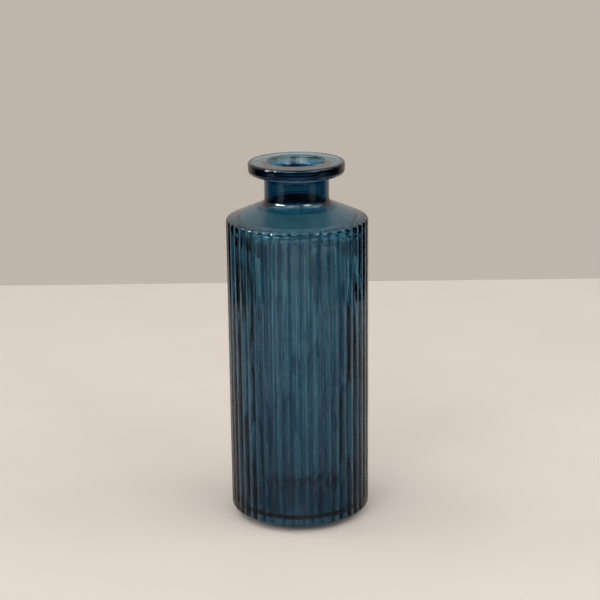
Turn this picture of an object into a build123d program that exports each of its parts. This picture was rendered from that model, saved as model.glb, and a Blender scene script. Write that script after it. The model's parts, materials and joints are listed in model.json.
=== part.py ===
"""Ribbed glass bud vase, modelled as the one moulded piece of glass that it is.

Frame: +Z up, origin at the centre of the foot, on the surface that the vase stands on. Millimetres.
The outside is a turned envelope cut by a ring of upright half-round ribs. The ribs run from the
heel to the shoulder and fade out where the envelope curves away from them. The inside is smooth.
"""
from build123d import *
import os
from math import cos, pi, sin

# Overall sizes
HEIGHT = 132.0
BODY_R = 25.5  # over the rib crests
NECK_R = 11.6
LIP_R = 17.3
LIP_THICKNESS = 4.5

# Ribs
RIB_COUNT = 44
RIB_DEPTH = 0.5
GROOVE_FILLET_R = 0.25
RIB_TURN = -2.05 * pi / 180  # from +X to the crest of the first rib

# Sharp corners of the outside, before they are rounded
ENVELOPE_R = BODY_R + 0.1  # the turned envelope stands just clear of the rib crests
SHOULDER_Z = 111.3
NECK_FOOT_Z = 117.4
LIP_UNDER_Z = HEIGHT - LIP_THICKNESS
HEEL_Z = 3.4
FOOT_RING_OUTER_R = 20.5

# Foot: a flat bearing ring round a steep-sided hollow
FOOT_RING_INNER_R = 18.7
FOOT_HOLLOW_R = 18.0
FOOT_HOLLOW_EDGE_Z = 3.5
FOOT_HOLLOW_MIDDLE_Z = 4.1

# Inside: a short cone at the mouth, the bore of the neck, and the cavity under the shoulder
MOUTH_R = 10.3
BORE_R = 8.95
BORE_TOP_Z = HEIGHT - 3.0
SHOULDER_GLASS = 3.9  # measured upright through the shoulder
INNER_TOP_R = 22.0
INNER_LOW_R = 19.6
FLOOR_EDGE_Z = 4.9
FLOOR_MIDDLE_Z = 6.0

# Roundings
FOOT_RING_ROUND = 1.5
HEEL_ROUND = 1.6
SHOULDER_ROUND = 2.0
NECK_FOOT_ROUND = 2.6
LIP_ROOT_ROUND = 0.7
LIP_LOWER_EDGE_ROUND = 1.8
LIP_UPPER_EDGE_ROUND = 0.9
MOUTH_ROUND = 0.7
BORE_TOP_ROUND = 1.0
BORE_LOW_ROUND = 4.0
INNER_SHOULDER_ROUND = 5.0
INNER_HEEL_ROUND = 0.9
FOOT_HOLLOW_ROUND = 0.8


def polar(radius, angle):
    """A point of the XY plane, from its radius and its angle in radians."""
    return (radius * cos(angle), radius * sin(angle))


def section():
    """Half section of the glass in the XZ plane, from the foot out, round, down inside and to the axis."""
    shoulder_slope = (NECK_FOOT_Z - SHOULDER_Z) / (ENVELOPE_R - NECK_R)
    under_shoulder_z = NECK_FOOT_Z - SHOULDER_GLASS
    corners = [
        (FOOT_RING_INNER_R, 0, None),
        (FOOT_RING_OUTER_R, 0, FOOT_RING_ROUND),
        (ENVELOPE_R, HEEL_Z, HEEL_ROUND),
        (ENVELOPE_R, SHOULDER_Z, SHOULDER_ROUND),
        (NECK_R, NECK_FOOT_Z, NECK_FOOT_ROUND),
        (NECK_R, LIP_UNDER_Z, LIP_ROOT_ROUND),
        (LIP_R, LIP_UNDER_Z, LIP_LOWER_EDGE_ROUND),
        (LIP_R, HEIGHT, LIP_UPPER_EDGE_ROUND),
        (MOUTH_R, HEIGHT, MOUTH_ROUND),
        (BORE_R, BORE_TOP_Z, BORE_TOP_ROUND),
        (BORE_R, under_shoulder_z - shoulder_slope * (BORE_R - NECK_R), BORE_LOW_ROUND),
        (INNER_TOP_R, under_shoulder_z - shoulder_slope * (INNER_TOP_R - NECK_R), INNER_SHOULDER_ROUND),
        (INNER_LOW_R, FLOOR_EDGE_Z, INNER_HEEL_ROUND),
        (0, FLOOR_MIDDLE_Z, None),
    ]
    points = [(r, z) for r, z, _ in corners]
    radii = [rounding for _, _, rounding in corners[1:-1]]
    outline = FilletPolyline(*points, radius=radii)
    hollow = FilletPolyline(
        (0, FOOT_HOLLOW_MIDDLE_Z),
        (FOOT_HOLLOW_R, FOOT_HOLLOW_EDGE_Z),
        (FOOT_RING_INNER_R, 0),
        radius=FOOT_HOLLOW_ROUND,
    )
    axis_line = Line((0, FLOOR_MIDDLE_Z), (0, FOOT_HOLLOW_MIDDLE_Z))
    return Plane.XZ * make_face([*outline.edges(), *hollow.edges(), axis_line.edge()])


def rib_outline():
    """Closed outline of the ribs: for each one a round crest, then a small fillet in the groove after it."""
    half_pitch = pi / RIB_COUNT
    groove_centre_r = BODY_R - RIB_DEPTH + GROOVE_FILLET_R
    # The crest arc's radius follows from being tangent to the fillets on both sides of it.
    reach = groove_centre_r * cos(half_pitch)
    crest_arc_r = (
        BODY_R**2 + groove_centre_r**2 - 2 * BODY_R * reach - GROOVE_FILLET_R**2
    ) / (2 * (BODY_R - reach + GROOVE_FILLET_R))
    share = crest_arc_r / (crest_arc_r + GROOVE_FILLET_R)

    def tangent_point(crest_angle, groove_angle):
        crest_centre = Vector(*polar(BODY_R - crest_arc_r, crest_angle))
        groove_centre = Vector(*polar(groove_centre_r, groove_angle))
        return crest_centre + (groove_centre - crest_centre) * share

    edges = []
    for rib in range(RIB_COUNT):
        crest = RIB_TURN + 2 * rib * half_pitch
        before = tangent_point(crest, crest - half_pitch)
        after = tangent_point(crest, crest + half_pitch)
        following = tangent_point(crest + 2 * half_pitch, crest + half_pitch)
        groove_bottom = polar(BODY_R - RIB_DEPTH, crest + half_pitch)
        edges.append(ThreePointArc(before, polar(BODY_R, crest), after).edge())
        edges.append(ThreePointArc(after, groove_bottom, following).edge())
    return make_face(edges)


def vase():
    """The turned glass, cut to the ribs below the shoulder."""
    turned = revolve(section(), Axis.Z)
    ribbed_column = extrude(Plane.XY.offset(HEIGHT / 2) * rib_outline(), HEIGHT, both=True)
    return turned & ribbed_column


os.makedirs("parts", exist_ok=True)
export_step(vase(), "parts/glass_vase.step")
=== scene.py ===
"""Blue glass bud vase on a pale table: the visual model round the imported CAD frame.

The vase's own sizes are in millimetres and become metres in the mesh. The stage is in metres.
"""

import json
import math

import bmesh
import bpy
from mathutils import Matrix, Vector, noise


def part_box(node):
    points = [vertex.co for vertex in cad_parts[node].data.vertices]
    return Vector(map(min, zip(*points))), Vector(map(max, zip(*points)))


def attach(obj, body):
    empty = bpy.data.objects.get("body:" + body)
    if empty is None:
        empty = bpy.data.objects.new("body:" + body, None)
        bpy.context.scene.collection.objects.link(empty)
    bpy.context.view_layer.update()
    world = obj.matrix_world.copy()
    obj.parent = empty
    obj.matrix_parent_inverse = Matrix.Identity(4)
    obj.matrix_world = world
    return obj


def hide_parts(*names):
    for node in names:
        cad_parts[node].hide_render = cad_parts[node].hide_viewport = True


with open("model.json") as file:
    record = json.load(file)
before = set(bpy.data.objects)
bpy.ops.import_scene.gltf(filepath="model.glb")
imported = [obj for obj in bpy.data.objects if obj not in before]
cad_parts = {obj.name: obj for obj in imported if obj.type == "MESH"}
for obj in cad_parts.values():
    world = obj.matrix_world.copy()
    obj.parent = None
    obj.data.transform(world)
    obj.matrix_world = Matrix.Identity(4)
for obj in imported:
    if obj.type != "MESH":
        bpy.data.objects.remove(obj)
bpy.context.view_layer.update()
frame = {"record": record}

MM = 0.001
NODE = "glass_vase"

# --- Sizes of the vase, in millimetres, with corners as they are before rounding --------------
node_low, node_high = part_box(NODE)
mouth_mount = next(mount for mount in frame["record"]["mounts"] if mount["name"] == "mouth")
HEIGHT = (node_high[2] - node_low[2]) / MM
BODY_R = (node_high[0] - node_low[0]) / 2 / MM
BORE_R = mouth_mount["dims"]["r_mm"]

RIB_COUNT = 44
RIB_DEPTH = 0.5
GROOVE_FILLET_R = 0.25
RIB_TURN = math.radians(-2.05)
RIB_BLEND = 0.35  # how softly the ribs run out into the shoulder and the heel

LIP_R = 17.3
LIP_THICKNESS = 4.5
LIP_UNDER_Z = HEIGHT - LIP_THICKNESS
NECK_R = 11.6
NECK_FOOT_Z = 117.4
SHOULDER_EDGE_R = 25.6
SHOULDER_EDGE_Z = 111.3
SHOULDER_SLOPE = (NECK_FOOT_Z - SHOULDER_EDGE_Z) / (SHOULDER_EDGE_R - NECK_R)
HEEL_Z = 3.4

FOOT_RING_INNER_R = 18.7
FOOT_RING_OUTER_R = 20.5
FOOT_HOLLOW_R = 18.0
FOOT_HOLLOW_EDGE_Z = 3.5
FOOT_HOLLOW_MIDDLE_Z = 4.1

MOUTH_R = 10.3
BORE_TOP_Z = HEIGHT - 3.0
SHOULDER_GLASS = 3.9  # measured upright through the shoulder
INNER_TOP_R = 22.0
INNER_LOW_R = 19.6
FLOOR_EDGE_Z = 4.9
FLOOR_MIDDLE_Z = 6.0

FOOT_RING_ROUND = 1.5
HEEL_ROUND = 1.6
SHOULDER_ROUND = 2.0
NECK_FOOT_ROUND = 2.6
LIP_ROOT_ROUND = 0.7
LIP_LOWER_EDGE_ROUND = 1.8
LIP_UPPER_EDGE_ROUND = 0.9
MOUTH_ROUND = 0.7
BORE_TOP_ROUND = 1.0
BORE_LOW_ROUND = 4.0
INNER_SHOULDER_ROUND = 5.0
INNER_HEEL_ROUND = 0.9
FOOT_HOLLOW_ROUND = 0.8


def shoulder_z(r):
    """Height of the shoulder's cone at a radius."""
    return NECK_FOOT_Z - SHOULDER_SLOPE * (r - NECK_R)


# The turned envelope that the ribs are blended into, wide enough for the crests to reach BODY_R.
ENVELOPE_R = BODY_R + RIB_BLEND
# The ribbed part ends on the bearing ring and on the shoulder, clear of the ribs at both ends.
RIBS_LOW_R = FOOT_RING_INNER_R + 0.6
RIBS_TOP_R = 21.5
INNER_SHOULDER_Z = shoulder_z(INNER_TOP_R) - SHOULDER_GLASS
BORE_LOW_Z = INNER_SHOULDER_Z + SHOULDER_SLOPE * (INNER_TOP_R - BORE_R)

# Columns of vertices round the vase
CREST_STEPS = 8
GROOVE_STEPS = 4
COARSE_RATIO = 4  # fine columns for each column of the plain parts

# Unevenness of a wall: its height, waves round the wall, waves along it, and an offset in the noise
OUTER_WAVER = (0.03, 2.0, 0.05, 3.0)
INNER_WAVER = (1.0, 1.98, 0.045, 11.0)

# Between which heights or radii the unevenness grows from none to all of it
OUTER_WAVER_Z = (0.0, 5.0)
INNER_WAVER_FROM_NECK_Z = (BORE_LOW_Z - 3, BORE_LOW_Z - 11)
INNER_WAVER_FROM_FLOOR_Z = (FLOOR_MIDDLE_Z, FLOOR_MIDDLE_Z + 4)
INNER_WAVER_FROM_AXIS_R = (6.0, 14.0)

# The same for the pebbling at the heel, and for the painted shade in the ribs' grooves where they run
# out
STIPPLE_Z = (5.5, 3.5)
GROOVE_SHADE_R = (24.4, 24.7)

# The other marks: where they are, and how strong in the frosted stretches and in the painted shade
# down the bore and in the neck
CORDED_TOP_Z = 109.5
SHOULDER_FROST = 0.4
SHOULDER_FROST_Z = (110.5, 118.0)
SHOULDER_FROST_R = (NECK_R + 1, 24.6)
BORE_SHADE = 0.9
BORE_SHADE_Z = (125.0, BORE_TOP_Z)
BORE_SHADE_R = (0.0, 10.0)
NECK_SHADE = 0.75
NECK_SHADE_Z = (116.0, LIP_UNDER_Z)
NECK_SHADE_R = (10.5, 14.5)


def ramp(value, start, end):
    """0 at start and 1 at end, straight between them and level outside."""
    return min(1.0, max(0.0, (value - start) / (end - start)))


def within(value, span):
    """Whether a value lies between the two ends of a span."""
    return span[0] < value < span[1]


def soft_min(a, b, width):
    """The smaller of two values, with the change from one to the other rounded over a width."""
    h = max(0.0, min(1.0, 0.5 + 0.5 * (b - a) / width))
    return b + (a - b) * h - width * h * (1 - h)


def waver(ca, sa, z, amount, around, along, offset):
    """Slow, smooth unevenness of a wall, from the cosine and sine of the angle round the vase."""
    return amount * noise.noise(Vector((ca * around + offset, sa * around, z * along)))


def rib_columns():
    """(angle, radius) of each fine column round the ribs: crest arcs and the fillets between them."""
    half_pitch = math.pi / RIB_COUNT
    groove_r = BODY_R - RIB_DEPTH + GROOVE_FILLET_R
    # The crest arc's radius follows from being tangent to the fillets on both sides of it.
    reach = groove_r * math.cos(half_pitch)
    crest_r = (BODY_R**2 + groove_r**2 - 2 * BODY_R * reach - GROOVE_FILLET_R**2) / (
        2 * (BODY_R - reach + GROOVE_FILLET_R)
    )
    crest_centre = Vector((BODY_R - crest_r, 0))
    groove_centre = groove_r * Vector((math.cos(half_pitch), math.sin(half_pitch)))
    across = groove_centre - crest_centre
    turn = math.atan2(across.y, across.x)
    arcs = []
    for step in range(CREST_STEPS + 1):
        arcs.append((crest_centre, crest_r, turn * (2 * step / CREST_STEPS - 1)))
    for step in range(1, GROOVE_STEPS):
        sweep = (turn - half_pitch) * (1 - 2 * step / GROOVE_STEPS)
        arcs.append((groove_centre, GROOVE_FILLET_R, math.pi + half_pitch + sweep))
    columns = []
    for rib in range(RIB_COUNT):
        base = 2 * half_pitch * rib + RIB_TURN
        for centre, radius, angle in arcs:
            p = centre + radius * Vector((math.cos(angle), math.sin(angle)))
            columns.append((base + math.atan2(p.y, p.x), p.length))
    return columns


def rounded(corners):
    """Points along a line of (r, z, rounding, steps of its arc, steps of the straight before it)."""
    points = [Vector(corners[0][:2])]
    for i in range(1, len(corners)):
        r, z, rounding, arc_steps, straight_steps = corners[i]
        corner = Vector((r, z))
        before = points[-1]
        start = end = corner
        if i < len(corners) - 1 and rounding:
            back = (Vector(corners[i - 1][:2]) - corner).normalized()
            ahead = (Vector(corners[i + 1][:2]) - corner).normalized()
            half_angle = back.angle(ahead) / 2
            setback = rounding / math.tan(half_angle)
            start, end = corner + back * setback, corner + ahead * setback
            centre = corner + (back + ahead).normalized() * (rounding / math.sin(half_angle))
        for step in range(1, straight_steps):
            points.append(before.lerp(start, step / straight_steps))
        points.append(start)
        if end != start:
            from_centre = (start - centre).normalized()
            to_centre = (end - centre).normalized()
            sweep = from_centre.angle(to_centre)
            for step in range(1, arc_steps + 1):
                t = step / arc_steps
                mixed = from_centre * math.sin((1 - t) * sweep) + to_centre * math.sin(t * sweep)
                points.append(centre + mixed / math.sin(sweep) * rounding)
    return points


def ribbed_section():
    """From the bearing ring out, up the ribs and in onto the shoulder."""
    return rounded([
        (RIBS_LOW_R, 0.0, 0, 0, 0),
        (FOOT_RING_OUTER_R, 0.0, FOOT_RING_ROUND, 5, 2),
        (ENVELOPE_R, HEEL_Z, HEEL_ROUND, 8, 6),
        (ENVELOPE_R, shoulder_z(ENVELOPE_R), SHOULDER_ROUND, 18, 32),
        (RIBS_TOP_R, shoulder_z(RIBS_TOP_R), 0, 0, 8),
    ])


def plain_section():
    """From the shoulder over the neck and the lip, down the inside and along the floor to the axis."""
    return rounded([
        (RIBS_TOP_R, shoulder_z(RIBS_TOP_R), 0, 0, 0),
        (NECK_R, NECK_FOOT_Z, NECK_FOOT_ROUND, 12, 8),
        (NECK_R, LIP_UNDER_Z, LIP_ROOT_ROUND, 6, 5),
        (LIP_R, LIP_UNDER_Z, LIP_LOWER_EDGE_ROUND, 8, 4),
        (LIP_R, HEIGHT, LIP_UPPER_EDGE_ROUND, 8, 4),
        (MOUTH_R, HEIGHT, MOUTH_ROUND, 6, 5),
        (BORE_R, BORE_TOP_Z, BORE_TOP_ROUND, 4, 3),
        (BORE_R, BORE_LOW_Z, BORE_LOW_ROUND, 10, 14),
        (INNER_TOP_R, INNER_SHOULDER_Z, INNER_SHOULDER_ROUND, 12, 6),
        (INNER_LOW_R, FLOOR_EDGE_Z, INNER_HEEL_ROUND, 8, 44),
        (0.0, FLOOR_MIDDLE_Z, 0, 0, 8),
    ])


def foot_section():
    """From the bearing ring up into the hollow and along it to the axis."""
    return rounded([
        (FOOT_RING_INNER_R, 0.0, 0, 0, 0),
        (FOOT_HOLLOW_R, FOOT_HOLLOW_EDGE_Z, FOOT_HOLLOW_ROUND, 6, 3),
        (0.0, FOOT_HOLLOW_MIDDLE_Z, 0, 0, 10),
    ])


def wall_radius(kind, r, z, ca, sa, rib_r):
    """The radius of a vertex, with the ribs cut in and the unevenness of the wall added."""
    if kind == "rib":
        ribbed_r = soft_min(r, rib_r, RIB_BLEND)
        return ribbed_r + ramp(z, *OUTER_WAVER_Z) * waver(ca, sa, z, *OUTER_WAVER)
    if kind == "inner":
        share = ramp(z, *INNER_WAVER_FROM_NECK_Z)
        share *= ramp(z, *INNER_WAVER_FROM_FLOOR_Z)
        share *= ramp(r, *INNER_WAVER_FROM_AXIS_R)
        return r + share * waver(ca, sa, z, *INNER_WAVER)
    return r


# The mesh attributes that the glass material reads
MARKS = ("frost", "groove", "neck_and_bore_shade", "stipple", "corded")


def surface_marks(kind, r, z, rib_r):
    """Strength of each mark at a vertex, without those that are 0."""
    marks = {}
    if kind == "rib":
        marks["stipple"] = ramp(z, *STIPPLE_Z)
        # painted shade: darker in the ribs' grooves, fading out where the ribs run out
        marks["groove"] = ramp(rib_r, BODY_R, BODY_R - RIB_DEPTH) * ramp(r, *GROOVE_SHADE_R)
    if kind in ("rib", "inner") and z < CORDED_TOP_Z:
        marks["corded"] = 1.0
    if kind == "foot":
        marks["frost"] = 1.0
    if kind in ("rib", "plain") and within(z, SHOULDER_FROST_Z) and within(r, SHOULDER_FROST_R):
        marks["frost"] = SHOULDER_FROST
    # painted shade: the bore below the mouth and the neck are marked to be darkened
    if kind == "plain" and within(z, BORE_SHADE_Z) and within(r, BORE_SHADE_R):
        marks["neck_and_bore_shade"] = BORE_SHADE
    if kind == "plain" and within(z, NECK_SHADE_Z) and within(r, NECK_SHADE_R):
        marks["neck_and_bore_shade"] = NECK_SHADE
    return marks


def add_ring(bm, columns, point, kind):
    """The ring of vertices at a point of the half section, with its marks."""
    ring = []
    z = point.y
    for angle, rib_r in columns:
        ca, sa = math.cos(angle), math.sin(angle)
        r = wall_radius(kind, point.x, z, ca, sa, rib_r)
        vert = bm.verts.new((r * ca * MM, r * sa * MM, z * MM))
        for name, strength in surface_marks(kind, r, z, rib_r).items():
            vert[bm.verts.layers.float[name]] = strength
        ring.append(vert)
    return ring


def bridge(bm, a, b):
    """The faces between two rings, of which one may have COARSE_RATIO times as many vertices."""
    if len(a) == len(b):
        for i in range(len(a)):
            j = (i + 1) % len(a)
            bm.faces.new((a[i], a[j], b[j], b[i]))
        return
    flipped = len(a) < len(b)
    fine, coarse = (b, a) if flipped else (a, b)
    middle = COARSE_RATIO // 2
    for i, low in enumerate(coarse):
        high = coarse[(i + 1) % len(coarse)]
        for j in range(COARSE_RATIO):
            k = i * COARSE_RATIO + j
            p, q = fine[k], fine[(k + 1) % len(fine)]
            faces = [(p, q, low if j < middle else high)]
            if j == middle - 1:
                faces.append((q, high, low))
            for face in faces:
                bm.faces.new(face[::-1] if flipped else face)


def close_on_axis(bm, ring, z, flipped=False):
    """The fan of faces from a ring to a vertex on the axis."""
    centre = bm.verts.new((0, 0, z * MM))
    for i, vert in enumerate(ring):
        face = (vert, ring[(i + 1) % len(ring)], centre)
        bm.faces.new(face[::-1] if flipped else face)


def add_vase():
    """The whole vase as one closed mesh."""
    fine = rib_columns()
    coarse = fine[::COARSE_RATIO]
    bm = bmesh.new()
    for name in MARKS:
        bm.verts.layers.float.new(name)

    # The plain section starts where the ribbed one ends. Its last point, and the foot's, are on the
    # axis, where a fan of faces closes the mesh.
    rings = [add_ring(bm, fine, point, "rib") for point in ribbed_section()]
    plain = plain_section()[1:-1]
    last_outer = max(i for i, point in enumerate(plain) if point.y > BORE_LOW_Z)
    for i, point in enumerate(plain):
        rings.append(add_ring(bm, coarse, point, "inner" if i > last_outer else "plain"))
    for a, b in zip(rings, rings[1:]):
        bridge(bm, a, b)
    close_on_axis(bm, rings[-1], FLOOR_MIDDLE_Z)

    foot = [rings[0]] + [add_ring(bm, coarse, point, "foot") for point in foot_section()[:-1]]
    for a, b in zip(foot, foot[1:]):
        bridge(bm, b, a)
    close_on_axis(bm, foot[-1], FOOT_HOLLOW_MIDDLE_Z, flipped=True)
    frost = bm.verts.layers.float["frost"]
    for vert in rings[0] + rings[1] + rings[2]:  # the rest of the bearing ring
        vert[frost] = 1.0

    bm.normal_update()
    mesh = bpy.data.meshes.new("vase_glass")
    bm.to_mesh(mesh)
    bm.free()
    mesh.shade_smooth()
    vase = bpy.data.objects.new("vase_glass", mesh)
    bpy.context.scene.collection.objects.link(vase)
    return vase


# --- Materials --------------------------------------------------------------------------------
def feed(nt, node, inputs):
    """Sets a node's inputs: each is a value, or another node's output to link from."""
    for name, value in inputs.items():
        if isinstance(value, bpy.types.NodeSocket):
            nt.links.new(value, node.inputs[name])
        else:
            node.inputs[name].default_value = value


def add_node(nt, kind, output, inputs, **settings):
    """Adds a shader node with its settings and inputs, and returns the output that is asked for."""
    node = nt.nodes.new("ShaderNode" + kind)
    for name, value in settings.items():
        setattr(node, name, value)
    feed(nt, node, inputs)
    return node.outputs[output]


def mark(nt, name):
    """The strength of one of the vase's marks."""
    return add_node(nt, "Attribute", "Fac", {}, attribute_name=name)


def new_material(name):
    """A new material's node tree and its Principled shader."""
    mat = bpy.data.materials.new(name)
    mat.use_nodes = True
    return mat, mat.node_tree, mat.node_tree.nodes["Principled BSDF"]


def glass_roughness(nt, place):
    """Faint smears all over, and a ground look where the frost mark is."""
    smears = add_node(nt, "TexNoise", "Fac", {"Vector": place, "Scale": 90, "Detail": 4})
    smear_roughness = add_node(
        nt, "MapRange", "Result",
        {"Value": smears, "From Min": 0.4, "From Max": 0.8, "To Min": 0.0, "To Max": 0.02},
    )
    return add_node(
        nt, "Math", "Value", {0: mark(nt, "frost"), 1: 0.25, 2: smear_roughness},
        operation="MULTIPLY_ADD",
    )


def glass_relief(nt, place, cords):
    """Fine upright cords, and over them a pebbled grain that is strongest at the heel."""
    corded = add_node(
        nt, "Bump", "Normal", {"Strength": 0.5, "Distance": 0.0001, "Height": cords},
    )
    grain = add_node(nt, "TexNoise", "Fac", {"Vector": place, "Scale": 700, "Detail": 3})
    strength = add_node(
        nt, "MapRange", "Result", {"Value": mark(nt, "stipple"), "To Min": 0.12, "To Max": 1.0},
    )
    return add_node(
        nt, "Bump", "Normal",
        {"Strength": strength, "Distance": 0.00004, "Height": grain, "Normal": corded},
    )


def glass_tint(nt, cords):
    """The glass's colour: painted shade in the ribs' grooves, in the neck and down the bore, and
    darker cords at random over the body.
    """
    # painted shade: the grooves pull the glass towards the dark blue below
    in_groove = add_node(
        nt, "MapRange", "Result", {"Value": mark(nt, "groove"), "From Min": 0.3, "From Max": 0.9},
    )
    in_cord = add_node(
        nt, "MapRange", "Result", {"Value": cords, "From Min": 0.48, "From Max": 0.62},
    )
    on_body = add_node(
        nt, "Math", "Value", {0: mark(nt, "corded"), 1: in_cord}, operation="MULTIPLY",
    )
    groove_shade_and_cords = add_node(
        nt, "Math", "Value", {0: in_groove, 1: 0.9, 2: on_body}, operation="MULTIPLY_ADD",
    )
    # dark blue for the painted shade in the grooves and for the random cords
    body = add_node(
        nt, "Mix", "Result",
        {"Factor": groove_shade_and_cords, "A": (1, 1, 1, 1), "B": (0.09, 0.27, 0.40, 1)},
        data_type="RGBA",
    )
    # painted shade: darkens the neck and the bore below the mouth, more where the mark is stronger
    neck = add_node(
        nt, "Gamma", "Color", {"Color": (0.03, 0.14, 0.25, 1), "Gamma": mark(nt, "neck_and_bore_shade")},
    )
    return add_node(
        nt, "Mix", "Result", {"Factor": 1.0, "A": body, "B": neck},
        data_type="RGBA", blend_type="MULTIPLY",
    )


def glass_material():
    """Clear glass that takes most of the red and some of the green out of the light inside it."""
    mat, nt, bsdf = new_material("blue_glass_look")
    place = add_node(nt, "TexCoord", "Object", {})
    stretched = add_node(nt, "Mapping", "Vector", {"Vector": place, "Scale": (1, 1, 0.007)})
    cords = add_node(nt, "TexNoise", "Fac", {"Vector": stretched, "Scale": 1500, "Detail": 2})
    feed(nt, bsdf, {
        "Base Color": glass_tint(nt, cords),
        "Roughness": glass_roughness(nt, place),
        "Normal": glass_relief(nt, place, cords),
        "IOR": 1.52,
        "Transmission Weight": 1.0,
    })
    absorption = add_node(
        nt, "VolumeAbsorption", "Volume", {"Color": (0.198, 0.536, 0.646, 1), "Density": 335},
    )
    feed(nt, nt.nodes["Material Output"], {"Volume": absorption})
    return mat


def table_material():
    """Matt paint, a little mottled, with a weak glow under the foot for light through the glass."""
    mat, nt, bsdf = new_material("table_paint")
    place = add_node(nt, "TexCoord", "Object", {})
    mottle = add_node(nt, "TexNoise", "Fac", {"Vector": place, "Scale": 18, "Detail": 5})
    paint = add_node(
        nt, "Mix", "Result",
        {"Factor": mottle, "A": (0.66, 0.602, 0.555, 1), "B": (0.725, 0.662, 0.61, 1)},
        data_type="RGBA",
    )
    from_axis = add_node(nt, "VectorMath", "Value", {0: place}, operation="LENGTH")
    glow = add_node(
        nt, "MapRange", "Result", {"Value": from_axis, "From Min": 0.022, "From Max": 0.016},
        interpolation_type="SMOOTHSTEP",
    )
    feed(nt, bsdf, {
        "Base Color": paint,
        "Roughness": 0.8,
        "Specular IOR Level": 0.0,
        "Emission Color": (0.055, 0.10, 0.115, 1),
        "Emission Strength": glow,
    })
    return mat


def dark_reflection_material():
    """Dark grey, slightly mottled, for the cards beside the vase that paint dark reflections on the
    glass.
    """
    mat, nt, bsdf = new_material("painted_reflection_flag")
    flag_mottle = add_node(nt, "TexNoise", "Fac", {"Scale": 60})
    shade = add_node(nt, "MapRange", "Result", {"Value": flag_mottle, "To Min": 0.27, "To Max": 0.33})
    feed(nt, bsdf, {"Base Color": shade, "Roughness": 0.9})
    return mat


# --- Stage, in metres -------------------------------------------------------------------------
TABLE_HALF_WIDTH = 0.30
TABLE_FRONT_Y = -0.45
TABLE_BACK_Y = 0.309
TABLE_THICKNESS = 0.02

# Outline of the right-hand card, a dark sheet for painted reflections, from close to the vase out past
# the side of the table
FLAG_OUTLINE = [(0.010, -0.028), (0.17, -0.40), (0.6, -0.40), (0.6, -0.22), (0.03, -0.02)]
FLAG_Z = 0.001

ROOM_FRONT = (0.06, 0.058, 0.055)
ROOM_FLOOR = (0.03, 0.03, 0.03)
WALL_LIGHT = (0.53, 0.473, 0.422)
CEILING = (0.66, 0.64, 0.61)

# Name, azimuth from +X and elevation in degrees, distance
SOFT_LIGHTS = [
    ("front_right", -45, 40, 1.1),
    ("right", -5, 45, 1.1),
    ("front_left", -126, 46, 1.1),
    ("left", 171, 60, 1.1),
    ("front", -104, 35, 1.2),
]
SOFT_LIGHT_SIZE = (0.5, 0.5)
SOFT_LIGHT_POWER = 1.8
SOFT_LIGHT_TARGET_Z = 0.05

# Name, azimuth and elevation, radiance, size: narrow lights for the glints on the glass
STRIP_LIGHTS = [
    ("strip_left", -152, 23, 55, (0.6, 0.2)),
    ("strip_right", -50, 24, 30, (0.4, 0.12)),
]
STRIP_LIGHT_DISTANCE = 1.1
STRIP_LIGHT_TARGET_Z = 0.1

CAMERA_PLACE = (0, -0.581, 0.2515)
CAMERA_PITCH = math.radians(16.395)
CAMERA_YAW = math.radians(-0.0721)
CAMERA_ROLL = math.radians(-0.674)
CAMERA_LENS_MM = 100.134
CAMERA_SENSOR_MM = 36

# Tone curve, from and to: the darkest tones are held down
TONES = [(0.01, 0.0033), (0.03, 0.018), (0.06, 0.045), (0.1, 0.083), (0.2, 0.18), (0.5, 0.49)]
LIGHT_BOUNCES = 24


def add_stage_piece(name, verts, faces, material):
    """A mesh that isn't part of the vase."""
    mesh = bpy.data.meshes.new(name)
    mesh.from_pydata(verts, [], faces)
    obj = bpy.data.objects.new(name, mesh)
    bpy.context.scene.collection.objects.link(obj)
    obj.data.materials.append(material)
    return obj


def add_table():
    """A slab with its top at z = 0."""
    corners = [
        (-TABLE_HALF_WIDTH, TABLE_FRONT_Y),
        (TABLE_HALF_WIDTH, TABLE_FRONT_Y),
        (TABLE_HALF_WIDTH, TABLE_BACK_Y),
        (-TABLE_HALF_WIDTH, TABLE_BACK_Y),
    ]
    verts = [(x, y, z) for z in (0, -TABLE_THICKNESS) for x, y in corners]
    sides = [((i + 1) % 4, i, i + 4, (i + 1) % 4 + 4) for i in range(4)]
    add_stage_piece("table", verts, [(0, 1, 2, 3), (7, 6, 5, 4), *sides], table_material())


def add_flags():
    """Painted reflection: dark cards in front of the vase on both sides, which only reflections off
    the glass see.
    """
    dark_reflection = dark_reflection_material()
    for side in (-1, 1):
        verts = [(side * x, y, FLAG_Z) for x, y in FLAG_OUTLINE]
        flag = add_stage_piece("flag", verts, [tuple(range(len(verts)))], dark_reflection)
        # painted reflection: hidden from the camera, from diffuse and transmitted rays and from
        # shadows, the cards show only in reflections off the glass
        flag.visible_camera = False
        flag.visible_diffuse = False
        flag.visible_transmission = False
        flag.visible_shadow = False


def add_light(name, azimuth, elevation, distance, target_z, size, power):
    """A rectangular light that points at the vase's axis."""
    data = bpy.data.lights.new(name, "AREA")
    data.shape = "RECTANGLE"
    data.size, data.size_y = size
    data.energy = power
    light = bpy.data.objects.new(name, data)
    az, el = math.radians(azimuth), math.radians(elevation)
    direction = Vector((math.cos(az) * math.cos(el), math.sin(az) * math.cos(el), math.sin(el)))
    light.location = direction * distance
    towards_vase = Vector((0, 0, target_z)) - direction * distance
    light.rotation_euler = towards_vase.to_track_quat("-Z", "Y").to_euler()
    bpy.context.scene.collection.objects.link(light)
    return light


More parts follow.
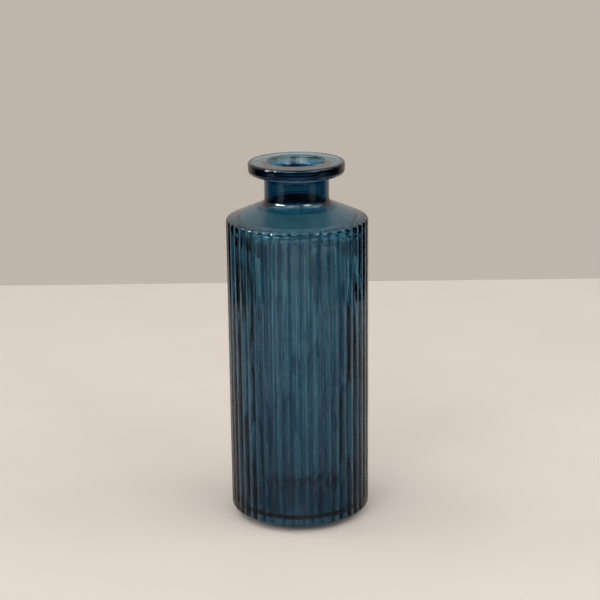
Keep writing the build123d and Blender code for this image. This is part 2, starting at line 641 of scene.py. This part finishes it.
def add_lights():
    """Soft lights all round the front, and the strips that show only as glints."""
    for name, azimuth, elevation, distance in SOFT_LIGHTS:
        add_light(
            name, azimuth, elevation, distance, SOFT_LIGHT_TARGET_Z, SOFT_LIGHT_SIZE, SOFT_LIGHT_POWER
        )
    for name, azimuth, elevation, radiance, size in STRIP_LIGHTS:
        power = radiance * math.pi * size[0] * size[1]
        strip = add_light(
            name, azimuth, elevation, STRIP_LIGHT_DISTANCE, STRIP_LIGHT_TARGET_Z, size, power
        )
        strip.visible_diffuse = False
        strip.visible_transmission = False


def add_world():
    """A soft room: a greige wall behind, dimmer in front, a dark floor and a bright ceiling."""
    world = bpy.data.worlds.new("studio")
    bpy.context.scene.world = world
    world.use_nodes = True
    nt = world.node_tree
    direction = add_node(nt, "TexCoord", "Generated", {})
    axes = nt.nodes.new("ShaderNodeSeparateXYZ")
    feed(nt, axes, {"Vector": direction})

    def blend(axis, low, high, below, above):
        """One colour where the direction's axis is under low, another where it is over high."""
        factor = add_node(
            nt, "MapRange", "Result",
            {"Value": axes.outputs[axis], "From Min": low, "From Max": high},
            interpolation_type="SMOOTHSTEP",
        )
        colours = {"Factor": factor, "A": below, "B": above}
        return add_node(nt, "Mix", "Result", colours, data_type="RGBA")

    wall = blend("Y", 0.25, 0.75, (*ROOM_FRONT, 1), (*WALL_LIGHT, 1))
    wall_and_floor = blend("Z", -0.31, -0.275, (*ROOM_FLOOR, 1), wall)
    room = blend("Z", -0.02, 0.3, wall_and_floor, (*CEILING, 1))
    feed(nt, nt.nodes["Background"], {"Color": room, "Strength": 1.0})


def add_camera():
    """The camera of the photo, fitted to the outline of the vase."""
    data = bpy.data.cameras.new("camera")
    data.sensor_width = CAMERA_SENSOR_MM
    data.lens = CAMERA_LENS_MM
    data.clip_start = 0.01
    camera = bpy.data.objects.new("camera", data)
    turn = Matrix.Rotation(CAMERA_YAW, 4, "Z")
    turn @= Matrix.Rotation(math.pi / 2 - CAMERA_PITCH, 4, "X")
    turn @= Matrix.Rotation(CAMERA_ROLL, 4, "Z")
    camera.matrix_world = Matrix.Translation(CAMERA_PLACE) @ turn
    bpy.context.scene.collection.objects.link(camera)
    bpy.context.scene.camera = camera


def set_picture():
    """Plain tones along the curve, and enough bounces for light to cross the glass."""
    scene = bpy.context.scene
    scene.view_settings.view_transform = "Standard"
    scene.view_settings.use_curve_mapping = True
    tone = scene.view_settings.curve_mapping
    all_channels = tone.curves[3]
    for point in TONES:
        all_channels.points.new(*point)
    tone.update()
    scene.cycles.max_bounces = LIGHT_BOUNCES
    scene.cycles.transmission_bounces = LIGHT_BOUNCES


vase = add_vase()
vase.data.materials.append(glass_material())
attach(vase, "root")
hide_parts(NODE)

add_table()
add_flags()
add_lights()
add_world()
add_camera()
set_picture()
